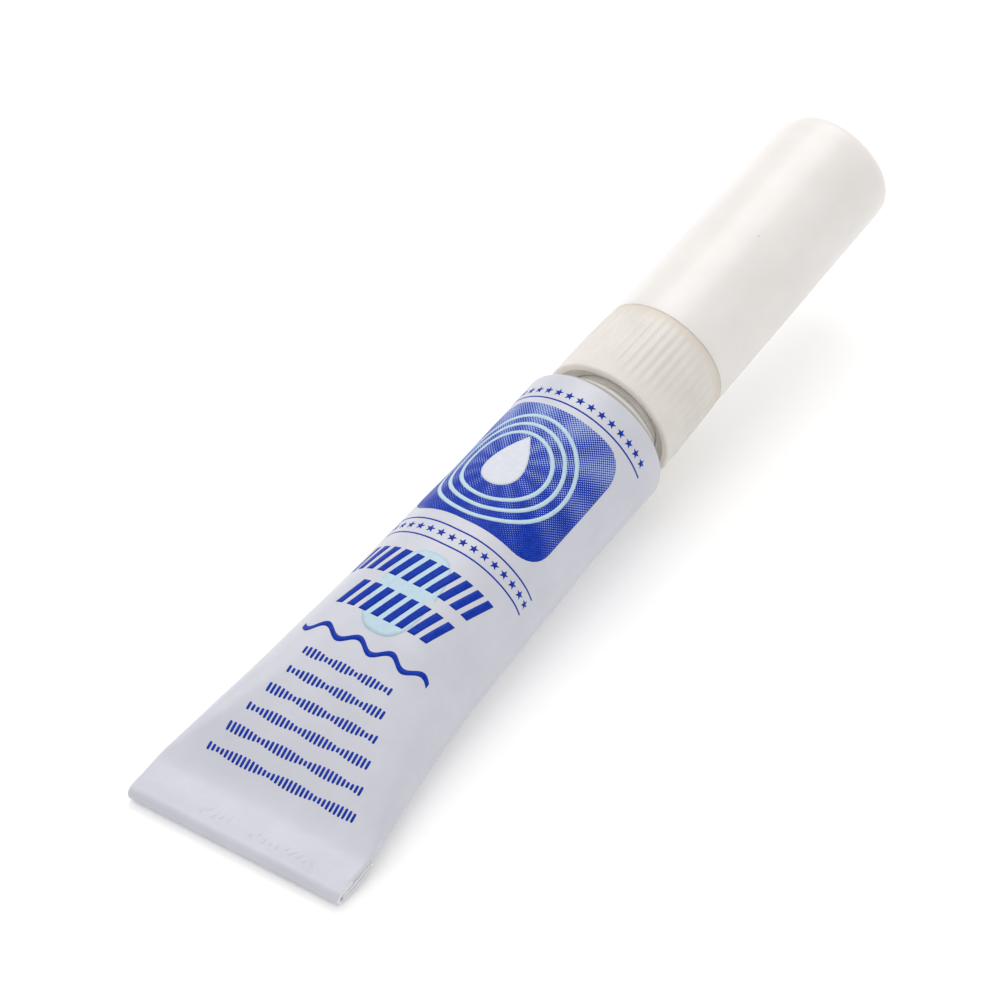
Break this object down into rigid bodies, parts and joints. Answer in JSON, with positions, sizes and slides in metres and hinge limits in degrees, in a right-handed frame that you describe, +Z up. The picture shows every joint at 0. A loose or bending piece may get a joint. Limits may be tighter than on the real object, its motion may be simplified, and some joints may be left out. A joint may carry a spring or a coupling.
{
  "type": "super glue tube",
  "caption": "Squeeze tube of instant glue with a double-rolled tail, a ribbed screw-on nozzle and a pull-off cap.",
  "frame": {"origin": "on the table under the middle of the bounding box, the tube lying on its rolled tail and its belly", "axes": "+X from the tail to the cap, +Z up from the table, +Y to the left of the tube seen from its tail"},
  "size_m": [0.0712, 0.017, 0.0138],
  "materials": {
    "foil": "white lacquer with blue print, bare metal at the neck",
    "seal": "sealing compound",
    "liquid": "clear liquid",
    "nozzle_plastic": "natural, slightly translucent",
    "cap_plastic": "glossy warm white"
  },
  "bodies": {
    "tube": {"tube_shell": "foil", "tail_seal": "seal", "glue": "liquid"},
    "nozzle": {"nozzle": "nozzle_plastic"},
    "cap": {"cap": "cap_plastic"}
  },
  "joints": [
    {"name": "nozzle_screw", "type": "hinge", "parent": "tube", "child": "nozzle", "pos_m": [0.01085, 0, 0.00656], "axis": [0.9928, 0, 0.12], "range_deg": [-504, 1404]},
    {"name": "cap_pull", "type": "slide", "parent": "nozzle", "child": "cap", "axis": [0.9928, 0, 0.12], "range_m": [0, 0.024]}
  ]
}
